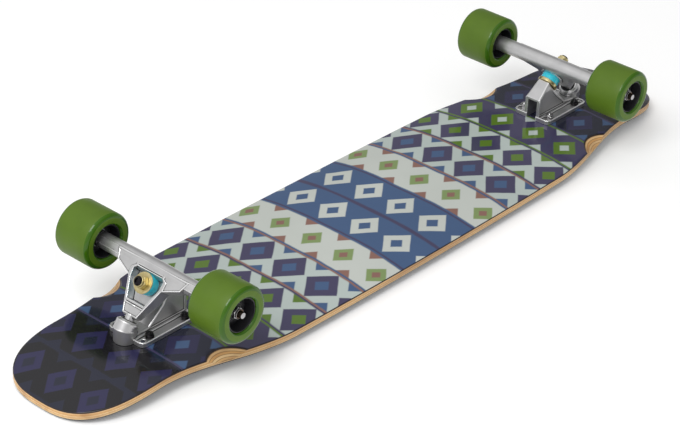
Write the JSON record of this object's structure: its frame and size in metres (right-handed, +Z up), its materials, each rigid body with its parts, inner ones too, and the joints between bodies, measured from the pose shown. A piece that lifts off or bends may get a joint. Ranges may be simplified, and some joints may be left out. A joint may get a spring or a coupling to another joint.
{
  "type": "longboard",
  "caption": "Longboard lying upside down on its grip face: maple deck with kicks and wheel wells, reverse-kingpin trucks, bushings, wheels on bearings",
  "frame": {"origin": "On the floor plane under the middle of the deck, which lies upside down on its grip face; the two kick tips touch the floor.", "axes": "+X runs along the deck toward the nose, +Y across the deck, +Z up from the floor, away from the grip face and toward the wheels."},
  "size_m": [1.045, 0.2604, 0.1276],
  "materials": {
    "printed_maple": "laminated maple under a glossy printed face",
    "grip": "coarse black grit sheet",
    "cast_aluminium": "satin cast and tumbled",
    "pale_gold_zinc": "steel with pale gold zinc plating",
    "black_steel": "blackened steel",
    "bright_zinc": "bright zinc plated steel",
    "cyan_urethane": "glossy cast urethane",
    "black_urethane": "matt moulded urethane",
    "green_urethane": "matt tread with glossy lips",
    "black_nylon": "moulded glass-filled nylon"
  },
  "bodies": {
    "board": {"deck": "printed_maple", "grip_tape": "grip", "front_baseplate": "cast_aluminium", "front_pivot_cup": "black_urethane", "front_kingpin": "black_steel", "front_kingpin_nut": "pale_gold_zinc", "front_roadside_washer": "pale_gold_zinc", "front_boardside_washer": "pale_gold_zinc", "front_roadside_bushing": "cyan_urethane", "front_boardside_bushing": "cyan_urethane", "front_bolt_inboard_left": "bright_zinc", "front_bolt_inboard_right": "bright_zinc", "front_bolt_outboard_left": "black_steel", "front_bolt_outboard_right": "black_steel", "rear_baseplate": "cast_aluminium", "rear_pivot_cup": "black_urethane", "rear_kingpin": "black_steel", "rear_kingpin_nut": "pale_gold_zinc", "rear_roadside_washer": "pale_gold_zinc", "rear_boardside_washer": "pale_gold_zinc", "rear_roadside_bushing": "cyan_urethane", "rear_boardside_bushing": "cyan_urethane", "rear_bolt_inboard_left": "black_steel", "rear_bolt_inboard_right": "black_steel", "rear_bolt_outboard_left": "black_steel", "rear_bolt_outboard_right": "black_steel"},
    "front_hanger_body": {"front_hanger": "cast_aluminium", "front_axle": "bright_zinc", "front_left_inboard_race": "bright_zinc", "front_left_outboard_race": "bright_zinc", "front_left_axle_nut": "bright_zinc", "front_right_inboard_race": "bright_zinc", "front_right_outboard_race": "bright_zinc", "front_right_axle_nut": "bright_zinc"},
    "rear_hanger_body": {"rear_hanger": "cast_aluminium", "rear_axle": "bright_zinc", "rear_left_inboard_race": "bright_zinc", "rear_left_outboard_race": "bright_zinc", "rear_left_axle_nut": "bright_zinc", "rear_right_inboard_race": "bright_zinc", "rear_right_outboard_race": "bright_zinc", "rear_right_axle_nut": "bright_zinc"},
    "front_left_wheel": {"front_left_tyre": "green_urethane", "front_left_core": "black_nylon", "front_left_inboard_bearing": "bright_zinc", "front_left_outboard_bearing": "bright_zinc"},
    "front_right_wheel": {"front_right_tyre": "green_urethane", "front_right_core": "black_nylon", "front_right_inboard_bearing": "bright_zinc", "front_right_outboard_bearing": "bright_zinc"},
    "rear_left_wheel": {"rear_left_tyre": "green_urethane", "rear_left_core": "black_nylon", "rear_left_inboard_bearing": "bright_zinc", "rear_left_outboard_bearing": "bright_zinc"},
    "rear_right_wheel": {"rear_right_tyre": "green_urethane", "rear_right_core": "black_nylon", "rear_right_inboard_bearing": "bright_zinc", "rear_right_outboard_bearing": "bright_zinc"}
  },
  "joints": [
    {"name": "front_steering", "type": "hinge", "parent": "board", "child": "front_hanger_body", "pos_m": [0.3634, 0, 0.07614], "axis": [0.7548, 0, -0.656], "range_deg": [-15, 15], "stiffness_Nm_per_rad": 40, "deforming": ["front_boardside_bushing", "front_roadside_bushing"]},
    {"name": "rear_steering", "type": "hinge", "parent": "board", "child": "rear_hanger_body", "pos_m": [-0.3554, 0, 0.07614], "axis": [-0.7548, 0, -0.656], "range_deg": [-15, 15], "stiffness_Nm_per_rad": 40, "deforming": ["rear_boardside_bushing", "rear_roadside_bushing"]},
    {"name": "front_left_wheel_spin", "type": "hinge", "parent": "front_hanger_body", "child": "front_left_wheel", "pos_m": [0.355, 0.104, 0.09394], "axis": [0, 1, 0], "continuous": true},
    {"name": "front_right_wheel_spin", "type": "hinge", "parent": "front_hanger_body", "child": "front_right_wheel", "pos_m": [0.355, -0.104, 0.09394], "axis": [0, 1, 0], "continuous": true},
    {"name": "rear_left_wheel_spin", "type": "hinge", "parent": "rear_hanger_body", "child": "rear_left_wheel", "pos_m": [-0.347, 0.104, 0.09394], "axis": [0, 1, 0], "continuous": true},
    {"name": "rear_right_wheel_spin", "type": "hinge", "parent": "rear_hanger_body", "child": "rear_right_wheel", "pos_m": [-0.347, -0.104, 0.09394], "axis": [0, 1, 0], "continuous": true}
  ]
}
